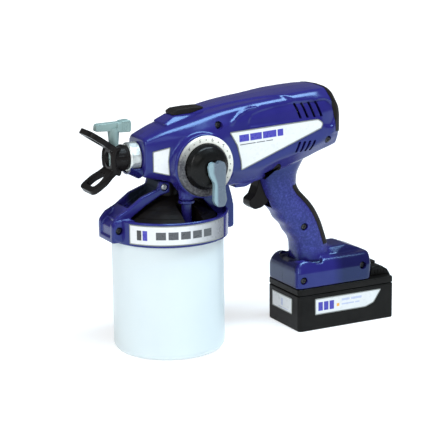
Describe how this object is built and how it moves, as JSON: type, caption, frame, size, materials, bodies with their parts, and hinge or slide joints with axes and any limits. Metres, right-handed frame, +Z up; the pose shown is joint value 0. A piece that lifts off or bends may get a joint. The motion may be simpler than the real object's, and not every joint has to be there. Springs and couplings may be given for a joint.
{
  "type": "airless paint sprayer",
  "caption": "Cordless handheld airless paint sprayer: pistol-grip housing with a side pressure dial and prime lever, spray tip in a flared guard, screw-on paint cup and slide-on battery pack.",
  "frame": {"origin": "centre of the paint cup's base, on the surface the sprayer stands on", "axes": "+Z up, the spray leaves towards -X, the battery is at +X, and the dial faces -Y"},
  "size_m": [0.3177, 0.1128, 0.2314],
  "materials": {
    "housing_blue": "glossy injection-moulded nylon, ultramarine blue",
    "housing_dark_blue": "glossy injection-moulded nylon, dark blue",
    "black_plastic": "fine-grained moulded nylon, black",
    "grip_rubber": "soft overmoulded rubber, black",
    "cup_polyethylene": "translucent white polyethylene, satin",
    "label_film": "printed polyester label, white",
    "dial_cream": "moulded ring, warm white with pad-printed ticks",
    "tip_grey_green": "moulded nylon, pale grey-green",
    "lever_grey_blue": "moulded acetal, grey-blue",
    "steel": "plated steel, machined",
    "zinc": "die-cast light alloy, satin",
    "board_green": "glass-epoxy circuit board, green",
    "cell_wrap": "shrink-wrapped lithium cell, teal"
  },
  "bodies": {
    "body": {"arm_screw": "zinc", "collar_frame": "housing_blue", "collar_label": "label_film", "collar_screw": "zinc", "control_board": "board_green", "cup_lid": "black_plastic", "dial_ring": "dial_cream", "foot_screw_front": "zinc", "foot_screw_rear": "zinc", "front_label": "label_film", "gear_plate": "zinc", "grip_strip": "grip_rubber", "handle_screw": "zinc", "housing_left": "housing_blue", "housing_right": "housing_blue", "housing_screw_front": "zinc", "housing_screw_rear": "zinc", "inlet_housing": "black_plastic", "inlet_strainer": "black_plastic", "motor_can": "steel", "nose_shroud": "housing_dark_blue", "outlet_fitting": "steel", "prime_valve": "zinc", "pump_block": "zinc", "rear_cap": "black_plastic", "return_tube": "housing_blue", "side_label": "label_film", "suction_tube": "cup_polyethylene", "terminal_block": "black_plastic", "top_insert": "grip_rubber", "trigger_pin": "steel", "trigger_spring": "steel", "trigger_switch": "black_plastic", "wobble_plate": "steel"},
    "trigger": {"trigger": "black_plastic"},
    "trigger_lock": {"trigger_lock": "black_plastic"},
    "pressure_knob": {"pressure_knob": "black_plastic"},
    "prime_lever": {"prime_lever": "lever_grey_blue"},
    "guard_nut": {"guard_nut": "steel"},
    "tip_guard": {"tip_guard": "black_plastic", "tip_seal": "steel"},
    "spray_tip": {"spray_tip": "tip_grey_green"},
    "cup_gasket": {"cup_gasket": "grip_rubber"},
    "cup": {"cup": "cup_polyethylene"},
    "battery": {"battery_case": "black_plastic", "battery_cover": "black_plastic", "battery_front_label": "label_film", "battery_side_label": "label_film", "battery_cell_1": "cell_wrap", "battery_cell_2": "cell_wrap", "battery_cell_3": "cell_wrap", "battery_cell_4": "cell_wrap", "battery_cell_5": "cell_wrap"},
    "battery_release_button": {"battery_release_button": "grip_rubber"},
    "motor_rotor": {"motor_rotor": "steel"},
    "drive_gear": {"drive_gear": "zinc"},
    "piston_1": {"piston_1": "steel"},
    "piston_2": {"piston_2": "steel"},
    "piston_3": {"piston_3": "steel"}
  },
  "joints": [
    {"name": "trigger_pull", "type": "hinge", "parent": "body", "child": "trigger", "pos_m": [0.099, 0, 0.146], "axis": [0, -1, 0], "range_deg": [0, 14], "stiffness_Nm_per_rad": 0.6, "springref_deg": -8.59},
    {"name": "trigger_lock_slide", "type": "slide", "parent": "body", "child": "trigger_lock", "axis": [0, 1, 0], "range_m": [0, 0.003]},
    {"name": "pressure_knob_turn", "type": "hinge", "parent": "body", "child": "pressure_knob", "pos_m": [0.0226, 0, 0.1728], "axis": [0, -1, 0], "range_deg": [0, 270]},
    {"name": "prime_lever_turn", "type": "hinge", "parent": "body", "child": "prime_lever", "pos_m": [0.0226, 0, 0.1728], "axis": [0, 1, 0], "range_deg": [0, 90]},
    {"name": "guard_nut_turn", "type": "hinge", "parent": "body", "child": "guard_nut", "pos_m": [-0.035, 0, 0.1815], "axis": [1, 0, 0], "range_deg": [0, 360]},
    {"name": "tip_guard_turn", "type": "hinge", "parent": "body", "child": "tip_guard", "pos_m": [-0.045, 0, 0.1815], "axis": [1, 0, 0], "range_deg": [0, 90]},
    {"name": "spray_tip_reverse", "type": "hinge", "parent": "tip_guard", "child": "spray_tip", "pos_m": [-0.0513, 0, 0.1815], "axis": [0, 0, 1], "range_deg": [0, 180]},
    {"name": "cup_lower", "type": "slide", "parent": "body", "child": "cup_gasket", "axis": [0, 0, -1], "range_m": [0, 0.12]},
    {"name": "cup_twist", "type": "hinge", "parent": "cup_gasket", "child": "cup", "pos_m": [0, 0, 0], "axis": [0, 0, 1], "range_deg": [0, 90]},
    {"name": "battery_slide", "type": "slide", "parent": "body", "child": "battery", "axis": [1, 0, 0], "range_m": [0, 0.11]},
    {"name": "battery_release_press", "type": "slide", "parent": "battery", "child": "battery_release_button", "axis": [0, 0, -1], "range_m": [0, 0.002], "stiffness_N_per_m": 800, "springref_m": -0.001},
    {"name": "motor_spin", "type": "hinge", "parent": "body", "child": "motor_rotor", "pos_m": [0.09, 0, 0.2055], "axis": [1, 0, 0], "continuous": true},
    {"name": "drive_gear_spin", "type": "hinge", "parent": "body", "child": "drive_gear", "pos_m": [0.056, 0, 0.1815], "axis": [1, 0, 0], "continuous": true},
    {"name": "piston_1_stroke", "type": "slide", "parent": "body", "child": "piston_1", "axis": [-1, 0, 0], "range_m": [0, 0.004]},
    {"name": "piston_2_stroke", "type": "slide", "parent": "body", "child": "piston_2", "axis": [-1, 0, 0], "range_m": [0, 0.004]},
    {"name": "piston_3_stroke", "type": "slide", "parent": "body", "child": "piston_3", "axis": [-1, 0, 0], "range_m": [0, 0.004]}
  ],
  "couplings": [
    {"joint": "drive_gear_spin", "follows": "motor_spin", "ratio": -0.33333}
  ]
}
